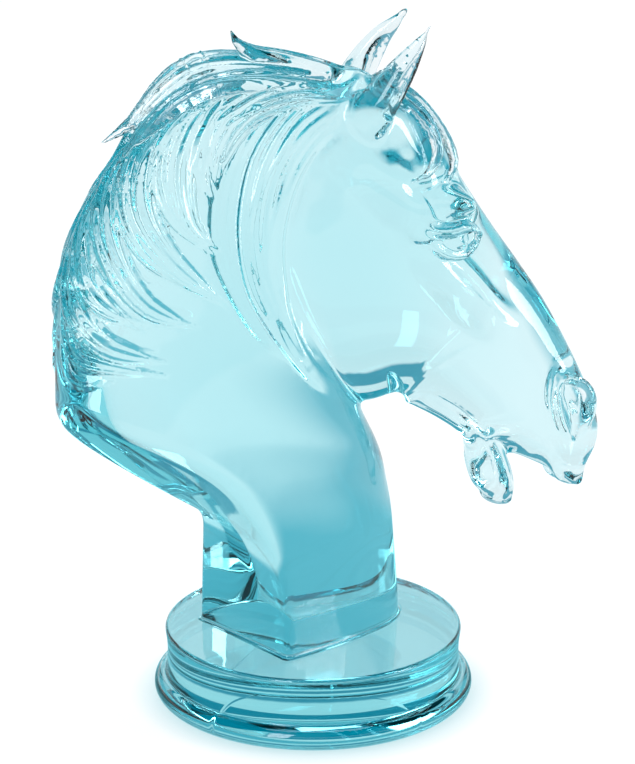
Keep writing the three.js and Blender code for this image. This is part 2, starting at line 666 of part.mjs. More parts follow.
// A heap that gives the cheapest join first.
class Queue {
  constructor() {
    this.items = [];
  }

  push(item) {
    const items = this.items;
    let i = items.length;
    items.push(item);
    while (i > 0) {
      const parent = (i - 1) >> 1;
      if (items[parent].cost <= item.cost) break;
      items[i] = items[parent];
      i = parent;
    }
    items[i] = item;
  }

  pop() {
    const items = this.items;
    const top = items[0];
    const item = items.pop();
    if (items.length === 0) return top;
    let i = 0;
    for (;;) {
      let child = 2 * i + 1;
      if (child >= items.length) break;
      if (child + 1 < items.length && items[child + 1].cost < items[child].cost) child++;
      if (items[child].cost >= item.cost) break;
      items[i] = items[child];
      i = child;
    }
    items[i] = item;
    return top;
  }
}

// The sum of squared distances to a set of planes, as the ten numbers xx xy xz x yy yz y zz z 1.
function planeSum(normal, offset, weight) {
  const [x, y, z] = normal;
  const first = [x * x, x * y, x * z, x * offset];
  const rest = [y * y, y * z, y * offset, z * z, z * offset, offset * offset];
  return [...first, ...rest].map((term) => term * weight);
}

function cost(q, p) {
  const [x, y, z] = p;
  const squares = q[0] * x * x + q[4] * y * y + q[7] * z * z;
  const products = q[1] * x * y + q[2] * x * z + q[5] * y * z;
  return squares + 2 * (products + q[3] * x + q[6] * y + q[8] * z) + q[9];
}

// The point that lies closest to all the planes, or null where they leave it open.
function closest(q) {
  const rows = [[q[0], q[1], q[2]], [q[1], q[4], q[5]], [q[2], q[5], q[7]]];
  const right = [-q[3], -q[6], -q[8]];
  const determinant = dot(rows[0], cross(rows[1], rows[2]));
  const scale = q[0] + q[4] + q[7];
  if (Math.abs(determinant) < 1e-5 * scale ** 3) return null;
  const swap = (k) => rows.map((row, r) => row.map((value, c) => (c === k ? right[r] : value)));
  return [0, 1, 2].map((k) => {
    const m = swap(k);
    return dot(m[0], cross(m[1], m[2])) / determinant;
  });
}

// Joins neighbouring points, the least harmful pair first, until `target` facets are left.
function simplify(points, facets, target) {
  const place = points.map((p) => [...p]);
  const sums = points.map(() => new Array(10).fill(0));
  const around = points.map(() => new Set());
  const stamp = new Int32Array(points.length);
  const alive = facets.map(() => true);
  const corner = facets.map((facet) => [...facet]);
  const areaNormal = (a, b, c) => cross(subtract(b, a), subtract(c, a));
  corner.forEach((facet, f) => {
    const normal = areaNormal(...facet.map((v) => place[v]));
    const size = Math.hypot(...normal);
    const direction = unit(normal);
    const sum = planeSum(direction, -dot(direction, place[facet[0]]), size);
    for (const v of facet) {
      sum.forEach((value, k) => (sums[v][k] += value));
      around[v].add(f);
    }
  });
  const neighbours = (v) => {
    const found = new Set();
    for (const f of around[v]) for (const w of corner[f]) if (w !== v) found.add(w);
    return found;
  };
  const queue = new Queue();
  const offer = (a, b) => {
    const q = sums[a].map((value, k) => value + sums[b][k]);
    const middle = place[a].map((value, k) => (value + place[b][k]) / 2);
    const length = Math.hypot(...subtract(place[a], place[b]));
    const options = [place[a], place[b], middle];
    const best = closest(q);
    if (best && Math.hypot(...subtract(best, middle)) < 2 * length) options.push(best);
    let choice = { cost: Infinity };
    for (const at of options) {
      const harm = cost(q, at) + 1e-4 * length * length;
      if (harm < choice.cost) choice = { cost: harm, at };
    }
    queue.push({ ...choice, a, b, stampA: stamp[a], stampB: stamp[b] });
  };
  const staysUpright = (v, other, at) => {
    for (const f of around[v]) {
      if (corner[f].includes(other)) continue;
      const before = areaNormal(...corner[f].map((w) => place[w]));
      const moved = corner[f].map((w) => (w === v ? at : place[w]));
      const after = areaNormal(...moved);
      const size = Math.hypot(...after);
      if (dot(before, after) < 0.3 * size * Math.hypot(...before)) return false;
      const longest = Math.max(...moved.map((p, k) => Math.hypot(...subtract(p, moved[(k + 1) % 3]))));
      if (size < 0.04 * longest * longest) return false;
    }
    return true;
  };
  points.forEach((p, v) => {
    for (const w of neighbours(v)) if (v < w) offer(v, w);
  });
  let left = facets.length;
  while (left > target && queue.items.length > 0) {
    const { a, b, at, stampA, stampB } = queue.pop();
    if (stamp[a] !== stampA || stamp[b] !== stampB) continue;
    const nearA = neighbours(a);
    const shared = [...neighbours(b)].filter((v) => nearA.has(v));
    if (shared.length !== 2 || !staysUpright(a, b, at) || !staysUpright(b, a, at)) continue;
    for (const f of [...around[b]]) {
      if (corner[f].includes(a)) {
        alive[f] = false;
        left--;
        for (const v of corner[f]) around[v].delete(f);
      } else {
        corner[f] = corner[f].map((v) => (v === b ? a : v));
        around[a].add(f);
      }
    }
    around[b].clear();
    stamp[b] = -1;
    place[a] = at;
    sums[a] = sums[a].map((value, k) => value + sums[b][k]);
    const ring = neighbours(a);
    stamp[a]++;
    for (const v of ring) offer(Math.min(a, v), Math.max(a, v));
  }
  return { points: place, facets: corner.filter((facet, f) => alive[f]) };
}

// The points that the largest joined group of facets uses, numbered anew.
function compact({ points, facets }) {
  const root = points.map((p, v) => v);
  const find = (v) => {
    while (root[v] !== v) {
      root[v] = root[root[v]];
      v = root[v];
    }
    return v;
  };
  for (const [a, b, c] of facets) {
    root[find(a)] = find(b);
    root[find(b)] = find(c);
  }
  const sizes = new Map();
  for (const facet of facets) sizes.set(find(facet[0]), (sizes.get(find(facet[0])) ?? 0) + 1);
  const main = [...sizes.entries()].sort((a, b) => b[1] - a[1])[0][0];
  const number = new Map();
  const kept = [];
  const joined = facets.filter((facet) => find(facet[0]) === main);
  for (const v of joined.flat()) {
    if (number.has(v)) continue;
    number.set(v, kept.length);
    kept.push(points[v]);
  }
  return { points: kept, facets: joined.map((facet) => facet.map((v) => number.get(v))) };
}

function buildCasting() {
  const grid = sampleGrid();
  closePinches(grid);
  const fine = compact(skinOf(grid));
  fine.points = settle(fine.points, grid.step);
  const { points, facets } = compact(simplify(fine.points, fine.facets, FACETS));
  const flat = points.map(([x, y, z]) => [x, y, z < 0.4 ? 0 : z]);
  const geometry = new THREE.BufferGeometry();
  geometry.setAttribute("position", new THREE.Float32BufferAttribute(flat.flat(), 3));
  geometry.setIndex(facets.flat());
  geometry.computeVertexNormals();
  return geometry;
}

const material = new THREE.MeshStandardMaterial({ color: COLOUR, roughness: 0.05, metalness: 0 });
const sculpture = new THREE.Group();
sculpture.name = "horse_head_sculpture";
const body = new THREE.Mesh(buildCasting(), material);
body.name = "horse_head_casting";
sculpture.add(body);

export default sculpture;
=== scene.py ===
# Clear aqua casting of a horse's head and neck on a round plinth. The casting is one skin, drawn around a
# field: a function that gives the distance to the skin in millimetres, negative inside. All sizes of the
# casting are in millimetres, those of the camera and the stage in metres.

from concurrent.futures import ThreadPoolExecutor
from math import cos, radians, sin

import bpy
import numpy as np
from mathutils import Matrix, Vector


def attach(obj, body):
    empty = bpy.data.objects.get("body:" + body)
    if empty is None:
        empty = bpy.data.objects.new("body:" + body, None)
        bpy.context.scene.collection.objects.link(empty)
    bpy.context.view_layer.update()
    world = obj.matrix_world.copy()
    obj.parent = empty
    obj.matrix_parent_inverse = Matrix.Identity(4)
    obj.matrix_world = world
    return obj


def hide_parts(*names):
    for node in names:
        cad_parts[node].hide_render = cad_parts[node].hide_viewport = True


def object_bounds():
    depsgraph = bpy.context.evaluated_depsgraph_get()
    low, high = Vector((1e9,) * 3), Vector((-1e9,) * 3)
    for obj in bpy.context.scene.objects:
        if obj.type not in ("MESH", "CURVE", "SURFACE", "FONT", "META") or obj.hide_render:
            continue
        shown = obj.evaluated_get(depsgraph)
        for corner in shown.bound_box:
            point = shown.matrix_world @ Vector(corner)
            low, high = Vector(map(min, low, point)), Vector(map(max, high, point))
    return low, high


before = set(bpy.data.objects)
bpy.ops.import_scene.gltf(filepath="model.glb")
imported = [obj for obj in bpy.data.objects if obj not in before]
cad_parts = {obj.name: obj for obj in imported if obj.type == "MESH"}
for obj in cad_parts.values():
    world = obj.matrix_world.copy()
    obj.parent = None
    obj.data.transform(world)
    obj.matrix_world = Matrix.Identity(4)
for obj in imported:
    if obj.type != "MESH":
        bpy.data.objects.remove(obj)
cad_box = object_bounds()
MM = 0.001

# Camera: where it stands around the sculpture, how high it looks down, and its lens, with the height of the
# photograph in pixels and that of the sensor in millimetres.
CAMERA_AZIMUTH, CAMERA_ELEVATION = -40.0, 18.9
CAMERA_DISTANCE = 2.2
CAMERA_AIM = Vector((0, 0, 0.2074))
CAMERA_SIDESTEP = 0.0028
FRAME_HEIGHT = 764
FOCAL_PIXELS = 3530
SENSOR = 36.0

# Stage: radius of the floor, height of its bend and of its wall, how far its rings of colour reach (painted
# shadow and painted shade among them), and the gap under the plinth, which keeps its underside a mirror.
STAGE_RADIUS, STAGE_BEND, STAGE_WALL = 5.0, 0.65, 3.0
STAGE_REACH = 6.0
FLOOR_GAP = 0.0003

# Light: the colour around the stage, how strongly the floor glows, and the softboxes, each with its place,
# aim, size and watts.
SURROUNDINGS = (0.0, 0.34, 0.46, 1)
FLOOR_GLOW = 0.90
SOFTBOXES = {
    "top": ((0.2, 0.3, 2.4), (0, 0, 0.2), (1.8, 1.8), 30),
    "left": ((-1.9, -0.9, 1.3), (0, 0, 0.25), (0.6, 1.6), 25),
    "right": ((1.15, -1.55, 0.85), (0, 0, 0.25), (0.5, 1.3), 22)}

# Glass: what its skin lets through, its bending of light, and the colour and strength of its depth.
GLASS_SKIN = (0.90, 0.93, 0.945, 1)
GLASS_IOR = 1.49
GLASS_DEPTH = (0.0, 0.75, 0.81, 1)
GLASS_DENSITY = 6.6
HAZE_SCALE = 22
HAZE_MOST = 0.035

# The plinth stands on z = 0. The post faces +X and the head is turned to the horse's right, about the
# vertical, by an angle that grows with the height.
HEAD_TURN = -28.0
TURN_FROM, TURN_TO = 90.0, 380.0
PLINTH_TOP = 46.0
PLINTH_RADIUS = 94.5
PLINTH_WAIST = 1.6
WAIST_FROM = 13.0
BEAD_RADIUS = 7.5
BEAD_RING = 94.0
POST_BACK = -52.0

# Undercut behind the post: its height at the middle, how it slopes backward and sideways, how deep it dips
# beside the post on the near side, over which width, and how soon that fades.
UNDERCUT_HEIGHT = 103.0
UNDERCUT_SLOPE, UNDERCUT_LEAN = 0.62, 0.35
UNDERCUT_DIP, DIP_FROM, DIP_WIDTH, UNDERCUT_FADE = 50.0, 46.0, 76.0, 20.0


def smooth_min(a, b, k):
    """The lesser of two distances, rounded where they meet over a width of k."""
    h = np.clip(0.5 + 0.5 * (b - a) / k, 0, 1)
    return b + (a - b) * h - k * h * (1 - h)


def smooth_max(a, b, k):
    return -smooth_min(-a, -b, k)


def ease(x, start, end):
    """From 0 at the start to 1 at the end, slow at both."""
    t = np.clip((x - start) / (end - start), 0, 1)
    return t * t * (3 - 2 * t)


def turn(points, degrees):
    """The points turned about the vertical."""
    c, s = np.cos(np.radians(degrees)), np.sin(np.radians(degrees))
    x, y = points[:, 0], points[:, 1]
    return np.stack([c * x - s * y, s * x + c * y, points[:, 2]], 1)


def catmull_rom(a, b, c, d, f):
    """The curve between b and c, at the share f of the way."""
    return 0.5 * (2 * b + (c - a) * f + (2 * a - 5 * b + 4 * c - d) * f**2 + (3 * b - a - 3 * c + d) * f**3)


def spline(rows, count):
    """Catmull-Rom samples through the rows."""
    p = np.asarray(rows, float)
    last = len(p) - 1
    p = np.vstack([2 * p[0] - p[1], p, 2 * p[-1] - p[-2]])
    t = np.linspace(0, last, count)
    i = np.minimum(t.astype(int), last - 1)
    f = (t - i)[:, None]
    a, b, c, d = p[i], p[i + 1], p[i + 2], p[i + 3]
    return catmull_rom(a, b, c, d, f)


def squircle(u, v, w, a, b, c, power):
    """Near-distance to the solid |u/a|^p + |v/b|^p + |w/c|^p = 1."""
    x, y, z = np.abs(u) / a, np.abs(v) / b, np.abs(w) / c
    r = (x**power + y**power + z**power) ** (1 / power) + 1e-9
    slope = np.sqrt((x**(power - 1) / a)**2 + (y**(power - 1) / b)**2 + (z**(power - 1) / c)**2)
    return (r - 1) / (slope / r**(power - 1) + 1e-9)


class Loft:
    """A body between a front line and a back line.

    Each row is front x, front z, back x, back z, half width, taper to the front, power, middle y."""

    def __init__(self, rows, count, cap=None):
        q = spline(rows, count)
        self.mid = (q[:, 0:2] + q[:, 2:4]) / 2
        half = (q[:, 0:2] - q[:, 2:4]) / 2
        self.reach = np.linalg.norm(half, axis=1)
        self.axis = half / self.reach[:, None]
        self.table = np.column_stack([self.mid, self.axis, self.reach, q[:, 4:8]])
        self.cap = cap

    def place(self, points):
        """Where along the body each point lies: the nearest cross line, then closer in two steps."""
        x, z = points[:, 0].astype(np.float32), points[:, 2].astype(np.float32)
        best = np.full(len(points), 1e9, np.float32)
        m = np.zeros(len(points), int)
        for i in range(len(self.reach)):
            qx, qz = x - self.mid[i, 0], z - self.mid[i, 1]
            along = np.abs(qx * self.axis[i, 0] + qz * self.axis[i, 1]) - self.reach[i]
            across = qx * self.axis[i, 1] - qz * self.axis[i, 0]
            gap = np.maximum(along, 0)**2 + across * across
            k = gap < best
            best[k] = gap[k]
            m[k] = i
        last = len(self.reach) - 1
        t = m.astype(float)
        for _ in range(2):
            a, b = np.maximum(t - 0.5, 0), np.minimum(t + 0.5, last)
            ea, eb = self.across(points, a), self.across(points, b)
            cross = np.where(np.abs(eb - ea) > 1e-6, ea / (ea - eb + 1e-12), 0.5)
            t = np.clip(a + np.clip(cross, -1, 2) * (b - a), 0, last)
        return t

    def rows_at(self, t):
        last = len(self.reach) - 1
        i = np.clip(t.astype(int), 0, last - 1)
        f = (t - i)[:, None]
        a, b = self.table[np.maximum(i - 1, 0)], self.table[i]
        c, d = self.table[i + 1], self.table[np.minimum(i + 2, last)]
        return catmull_rom(a, b, c, d, f)

    def across(self, points, t):
        """How far each point is from the cross line at t."""
        r = self.rows_at(t)
        return (points[:, 0] - r[:, 0]) * r[:, 3] - (points[:, 2] - r[:, 1]) * r[:, 2]

    def __call__(self, points):
        r = self.rows_at(self.place(points))
        x, z = points[:, 0] - r[:, 0], points[:, 2] - r[:, 1]
        along = x * r[:, 2] + z * r[:, 3]
        across = x * r[:, 3] - z * r[:, 2]
        reach = r[:, 4]
        width = r[:, 5] * (1 - r[:, 6] * np.clip(along / reach, -1.2, 1.2))
        cap = reach if self.cap is None else self.cap
        return squircle(along, points[:, 1] - r[:, 8], across, reach, width, cap, r[:, 7])

    def skin(self, t, u, side, lift):
        """A point on the side of the body: t from 0 to 1 along it, u from -1 (back) to 1 (front)."""
        r = self.rows_at(np.array([t * (len(self.reach) - 1)]))[0]
        width = r[5] * (1 - r[6] * u)
        power = r[7]
        v = min(abs(u), 0.999)
        y = width * (1 - v**power) ** (1 / power)
        nu, nv = np.sign(u) * v**(power - 1) / r[4], (y / width)**(power - 1) / width
        size = np.hypot(nu, nv)
        normal = np.array([r[2] * nu / size, side * nv / size, r[3] * nu / size])
        at = np.array([r[0] + r[2] * u * r[4], side * y + r[8], r[1] + r[3] * u * r[4]])
        return at + lift * normal, normal


class Strand:
    """A flattened rope through rows of x, y, z, half width, half thickness, its flat side facing one way."""

    def __init__(self, rows, facing, count=14, ridges=0, depth=0.0, cap=2.5):
        q = spline(rows, count)
        self.line = q[:, :3]
        tangent = np.gradient(self.line, axis=0)
        tangent /= np.linalg.norm(tangent, axis=1)[:, None]
        if np.ndim(facing) == 2:
            face = spline(facing, count)
        else:
            face = np.tile(np.asarray(facing, float), (count, 1))
        face -= (face * tangent).sum(1)[:, None] * tangent
        face /= np.linalg.norm(face, axis=1)[:, None]
        size = np.maximum(q[:, 3:5], 0.2)
        self.table = np.column_stack([self.line, tangent, face, np.cross(tangent, face), size])
        self.ridges, self.depth, self.cap = ridges, depth, cap
        room = size.max()
        self.low, self.high = self.line.min(0) - room, self.line.max(0) + room

    def near(self, points, margin):
        inside = np.all((points > self.low - margin) & (points < self.high + margin), axis=1)
        return np.where(inside)[0]

    def __call__(self, points):
        gap = ((points[:, None, :] - self.line[None])**2).sum(2)
        m, last = gap.argmin(1), len(self.line) - 1
        best, t = None, None
        for a, b in ((np.maximum(m - 1, 0), m), (m, np.minimum(m + 1, last))):
            start, step = self.line[a], self.line[b] - self.line[a]
            f = np.clip(((points - start) * step).sum(1) / ((step**2).sum(1) + 1e-12), 0, 1)
            away = ((points - start - f[:, None] * step)**2).sum(1)
            place = a + f * (b - a)
            t = place if best is None else np.where(away < best, place, t)
            best = away if best is None else np.minimum(away, best)
        i = np.minimum(t.astype(int), last - 1)
        f = (t - i)[:, None]
        r = self.table[i] * (1 - f) + self.table[i + 1] * f
        q = points - r[:, 0:3]
        along, out, side = (q * r[:, 3:6]).sum(1), (q * r[:, 6:9]).sum(1), (q * r[:, 9:12]).sum(1)
        width, thick = r[:, 12], r[:, 13]
        d = squircle(side, out, along, width, thick, self.cap, 2.0)
        if self.ridges:
            wave = 0.5 - 0.5 * np.cos(np.pi * self.ridges * np.clip(side / width, -1, 1))
            d = d + self.depth * np.minimum(1, width / 9)**1.5 * wave
        return d


def egg(points, centre, radii, axes=None, power=2.0):
    """An ellipsoid, squarer with a higher power."""
    q = points - np.asarray(centre, float)
    if axes is not None:
        q = q @ np.asarray(axes, float).T
    return squircle(q[:, 0], q[:, 1], q[:, 2], *radii, power)


def add(field, strand, points, k):
    """Joins a strand to the field, where it is near."""
    i = strand.near(points, k + 4)
    if len(i):
        field[i] = smooth_min(field[i], strand(points[i]), k)
    return field


def carve(field, strand, points, k):
    """Takes a strand out of the field, where it is near."""
    i = strand.near(points, k + 4)
    if len(i):
        field[i] = smooth_max(field[i], -strand(points[i]), k)
    return field


# Neck, post, head and lower jaw, in the frames of the neck and of the head before each is turned.
NECK = Loft([
    (60, 0, -150, 110, 42, -.10, 2.3, 6),
    (56, 90, -172, 186, 46, -.12, 2.3, 4),
    (46, 150, -169, 238, 48, -.15, 2.3, 2),
    (26, 192, -160, 284, 46, -.20, 2.3, 0),
    (12, 228, -142, 328, 42, -.25, 2.3, 0),
    (6, 265, -109, 370, 37, -.28, 2.3, 0),
    (6, 302, -62, 399, 33, -.28, 2.3, 0),
    (14, 338, -15, 404, 29, -.20, 2.2, 0),
    (36, 352, 22, 397, 27, -.10, 2.2, 0)], 56)
POST = Loft([
    (64, -30, -84, -30, 46, .02, 3.2, 8),
    (61, 46, -84, 46, 44, .02, 3.2, 8),
    (56, 92, -88, 96, 43, .02, 3.0, 6),
    (48, 128, -92, 134, 45, .00, 2.8, 4),
    (36, 152, -92, 168, 44, .00, 2.5, 3),
    (20, 172, -80, 196, 36, .00, 2.4, 2)], 28, cap=22)
HEAD = Loft([
    (30, 404, -14, 362, 28, .00, 2.2, 0),
    (57, 388, -24, 330, 36, .04, 2.5, 0),
    (76, 362, -26, 296, 42, .06, 2.7, 0),
    (94, 333, -16, 262, 43, .10, 2.7, 0),
    (112, 305, 4, 236, 39, .18, 2.6, 0),
    (130, 279, 30, 216, 32, .25, 2.4, 0),
    (147, 253, 58, 198, 27, .22, 2.4, 0),
    (161, 227, 82, 182, 24, .12, 2.4, 0),
    (174, 200, 100, 167, 22, .02, 2.4, 0),
    (182, 180, 114, 158, 22, -.02, 2.4, 0),
    (184, 160, 130, 152, 21, -.05, 2.3, 0),
    (177, 142, 150, 142, 16, .0, 2.2, 0)], 64, cap=10)
JAW = Loft([
    (76, 214, 56, 193, 23, 0, 2.3, 0),
    (98, 188, 78, 181, 20, 0, 2.3, 0),
    (116, 166, 96, 166, 18, 0, 2.3, 0),
    (126, 148, 99, 147, 16, 0, 2.3, 0),
    (130, 132, 103, 134, 14, 0, 2.3, 0),
    (129, 121, 109, 126, 11, 0, 2.2, 0)], 28, cap=5)
FACE_AXES = ((.47, 0, -.883), (0, 1, 0), (.883, 0, .47))
OUT = (0, 1, 0)

# Forms of one side of the face, as rows of x, y, z, half width and half thickness; the field shows them on
# both sides. First the raised ones, each with the blend that joins it to the face.
FACE_RIDGES = {
    "bone behind the eye": (12, [(24, 34, 344, 3, 2), (42, 38, 329, 6, 3.5), (56, 38.5, 317, 6, 3.5),
                                 (66, 37, 306, 3, 2)]),
    "facial crest": (12, [(58, 36, 294, 3, 2), (74, 34.5, 279, 6, 3), (90, 31, 263, 6, 3),
                          (104, 25, 248, 4, 2), (114, 20, 238, 2, 1)]),
    "upper lip": (4, [(98, 17, 180, 2, 2), (108, 17, 172, 4, 4), (119, 17, 172, 4.5, 4.5),
                      (132, 17, 170, 5, 5), (144, 16, 161, 5, 5), (152, 15, 149, 4.5, 4.5),
                      (160, 13, 138, 4.5, 4.5), (170, 10, 134, 4, 4)]),
    "lower lip": (3, [(104, 15, 176, 2, 2), (113, 15, 164, 3.5, 4), (119, 14, 150, 3.5, 4.5),
                      (122, 12, 136, 4, 4.5), (119, 9, 126, 3, 3)]),
    "front rim of the nostril": (3, [(155, 17, 205, 2, 2), (165, 19, 203, 3.6, 3.6), (173, 19, 194, 4.4, 4.4),
                                     (174, 18, 181, 4.4, 4.4), (169, 17, 170, 3.4, 3.4),
                                     (163, 17, 164, 2, 2)]),
    "back rim of the nostril": (3, [(154, 18, 204, 2, 2), (152.5, 21, 193, 2.6, 3), (154, 22, 182, 2.8, 3.2),
                                    (158, 20, 171, 2.4, 2.8), (163, 17, 164, 1.6, 1.6)]),
    "upper lid": (4, [(60, 39, 317, 2, 2), (68, 41, 313.5, 3, 3.4), (77, 41.5, 313, 3.6, 3.8),
                      (86, 38.5, 314, 3.4, 3.4), (94, 33, 311, 2.4, 2.4), (98, 29, 306, 1.2, 1.2)]),
    "lower lid": (3, [(62, 38, 311, 1.6, 1.6), (68, 39.5, 302, 2.4, 2.6), (77, 39.5, 296.5, 2.8, 3),
                      (87, 36.5, 295.5, 2.6, 2.8), (95, 31.5, 300, 2, 2), (98, 29, 305, 1.2, 1.2)])}
FACE_CREASES = {
    "behind the mouth": (3, [(46, 35, 204, 2, 2), (58, 35, 211, 2, 3), (69, 35, 220, 2, 3.5),
                             (82, 33, 227, 2, 3), (92, 31, 232, 1.5, 1.5)]),
    "corner of the mouth": (3, [(74, 27, 199, 2, 2), (86, 25, 192, 2, 3), (98, 22, 182, 2, 3),
                                (106, 19, 174, 1.5, 1.5)]),
    "nostril": (2.5, [(156, 25, 200, 1.6, 2.5), (159, 24, 191, 3, 5), (162, 23, 182, 3.8, 6),
                      (164, 22, 173, 3.2, 5), (164, 20, 167, 1.6, 2.5)])}
RIDGES = [(blend, Strand(rows, OUT)) for blend, rows in FACE_RIDGES.values()]
CREASES = [(blend, Strand(rows, OUT)) for blend, rows in FACE_CREASES.values()]

# Rounded bodies of the face: middle and radii.
CHEEK = (20, 0, 270), (74, 44, 53)
CHEEK_POWER = 2.6
MOUTH = (62, 0, 186), (40, 9, 9)
TEMPLE_HOLLOW = (56, 47, 352), (14, 10, 10)
BROW_BONE = (71, 31.5, 324.5), (24, 9, 12)
EYE_SOCKET = (84, 48, 303), (15, 9, 9)
EYEBALL = (80, 31, 304), (10, 10, 9.5)


def ear(side, tip):
    """The shell of an ear and the hollow that faces forward and out."""
    shell = [(26, 28, 381, 13.5, 10), (32, 33, 390, 13, 9.5), (41, 36, 404, 11, 8), (50, 35.5, 417, 7.6, 6),
             *tip]
    hollow = [(39, 40, 387, 5, 5), (47, 43, 402, 5.6, 5.6), (54, 42, 415, 4, 4), (61, 38, 425, 1.6, 1.6)]
    shell, hollow = [[(x, y * side, *rest) for x, y, *rest in rows] for rows in (shell, hollow)]
    return (Strand(shell, (-.5, .85 * side, .2), count=18, cap=6),
            Strand(hollow, (.4, .9 * side, 0), count=14, cap=3))


# The near ear ends in a point, the far one is blunt.
EARS = [ear(-1, [(58, 33, 427.5, 4, 3.4), (63, 30.5, 434, .8, .8)]),
        ear(1, [(57, 33, 425, 4.8, 4), (61.5, 31, 430.5, 2.4, 2.2)])]
FORELOCK = [
    Strand([(42, -12, 397, 6, 4), (56, -22, 388, 6, 3.6), (67, -30, 374, 5, 3.4), (70, -34, 360, 4, 3),
            (64, -37, 349, 2.6, 2.2), (56, -38, 345, .8, .8)], (.5, -.8, .3), ridges=3, depth=.9),
    Strand([(44, -4, 400, 7, 4), (64, -10, 385, 6, 3.4), (76, -19, 369, 5, 3.2), (82, -25, 354, 4, 2.8),
            (80, -28, 344, 2, 1.8), (76, -29, 341, .8, .8)], (.7, -.6, .4), ridges=3, depth=.9),
    Strand([(44, 4, 400, 7, 4), (63, 4, 386, 6, 3.4), (76, 2, 369, 5, 3), (84, -3, 352, 3.4, 2.4),
            (88, -6, 342, .8, .8)], (.8, 0, .5), ridges=3, depth=.9),
    Strand([(42, 10, 397, 6, 4), (57, 19, 387, 6, 3.4), (68, 27, 372, 5, 3), (72, 32, 357, 3.4, 2.6),
            (70, 34, 347, .8, .8)], (.6, .7, .3), ridges=3, depth=.9)]

# Locks of the mane: half width, half thickness, lift over the skin, then their course on the neck's skin
# from root to tip, as places along the neck (0 at the foot, 1 at the poll) and across it (-1 at the crest).
LOCKS = [
    (8, 4.0, 1.5, [(.80, -.96), (.76, -.80), (.71, -.68), (.68, -.57), (.66, -.43)]),
    (11, 5.0, 2.0, [(.78, -.99), (.70, -.84), (.63, -.64), (.58, -.42), (.57, -.23)]),
    (13, 5.5, 2.5, [(.72, -.99), (.62, -.90), (.55, -.74), (.51, -.46), (.49, -.10)]),
    (11, 5.0, 2.0, [(.66, -.99), (.55, -.96), (.47, -.80), (.42, -.58), (.42, -.33)]),
    (11, 5.0, 2.0, [(.60, -.99), (.50, -.98), (.42, -.93), (.39, -.83), (.38, -.67)]),
    (12, 5.5, 2.5, [(.52, -.99), (.41, -.98), (.35, -.92), (.325, -.78), (.335, -.54)]),
    (8, 4.0, 1.0, [(.42, -.99), (.34, -.98), (.295, -.94), (.295, -.82), (.31, -.57)]),
    (7, 3.5, 1.0, [(.37, -.99), (.30, -.98), (.265, -.97), (.255, -.93), (.265, -.84)]),
    (9, 4.5, 2.0, [(.93, -.86), (.84, -.84), (.76, -.76), (.69, -.74), (.62, -.62)]),
    (10, 4.5, 3.0, [(.90, -.95), (.82, -.93), (.74, -.91), (.66, -.88), (.58, -.78)]),
    (7, 3.5, 1.0, [(.93, -.66), (.85, -.68), (.78, -.66), (.72, -.56), (.68, -.44)])]
# The shorter locks over the gaps between the first of them, as a share of their length, and how deep the
# grooves are in broad and in shorter locks, on the near side (-1) and on the far side (1).
LAYERED = 7
UPPER_LOCK, UPPER_LENGTH = (7.0, 4.0, 3.5), .86
GROOVES = {-1: (1.5, 1.3), 1: (.9, .7)}


def lock(side, width, thick, lift, course, ridges, depth):
    """A lock that swells from its root and thins out to a point lying on the neck."""
    rows, facing = [], []
    course = spline(course, 9)
    for s, (t, u) in zip(np.linspace(0, 1, len(course)), course):
        arch = np.sin(np.pi * (.25 + .75 * s)) * (1 - .9 * abs(u)**6)
        at, normal = NECK.skin(t, max(u, -.995), side, lift * arch - 2.5 * abs(u)**8 - .4)
        swell = np.sin(np.pi * (.12 + .88 * s))**.65 if s < 1 else .05
        rows.append((*at, width * swell, thick * swell))
        facing.append(normal)
    return Strand(rows, facing, count=18, ridges=ridges, depth=depth)


def mane():
    """Broad locks that sweep down from the crest to pointed tips, with shorter ones over the gaps between."""
    locks = []
    for side, (groove, upper_groove) in GROOVES.items():
        for width, thick, lift, course in LOCKS:
            locks.append(lock(side, width, thick, lift, course, 3, groove))
        for (*_, above), (*_, below) in zip(LOCKS, LOCKS[1:LAYERED]):
            course = (np.array(above) + np.array(below)) / 2
            course = course[0] + (course - course[0]) * UPPER_LENGTH
            locks.append(lock(side, *UPPER_LOCK, course, 2, upper_groove))
    return locks


def throat_strands():
    """Fine strands that fall from behind the ears along the back of the cheek and close up at the throat."""
    outer = [(.95, -.98), (.84, -.60), (.75, -.32), (.68, -.16), (.61, -.02), (.54, .13), (.48, .28),
             (.42, .44), (.38, .63)]
    inner = [(.97, -.30), (.88, -.02), (.80, .10), (.73, .20), (.66, .28), (.59, .34), (.52, .42),
             (.45, .53), (.40, .70)]
    strands = []
    for side in (-1, 1):
        for j, f in enumerate(np.linspace(0, 1, 6)):
            rows, facing = [], []
            for k, (a, b) in enumerate(zip(outer, inner)):
                wobble = .012 * np.sin(2.2 * k + 1.9 * j)
                t, u = a[0] + (b[0] - a[0]) * f, a[1] + (b[1] - a[1]) * f + wobble
                at, normal = NECK.skin(t, u, side, .6 if k < len(outer) - 1 else -2.5)
                size = .35 + .65 * np.sin(np.pi * (k + .4) / (len(outer) - .2))**.6
                rows.append((*at, 3.0 * size, 2.3 * size))
                facing.append(normal)
            strands.append(Strand(rows, facing, count=26))
    return strands


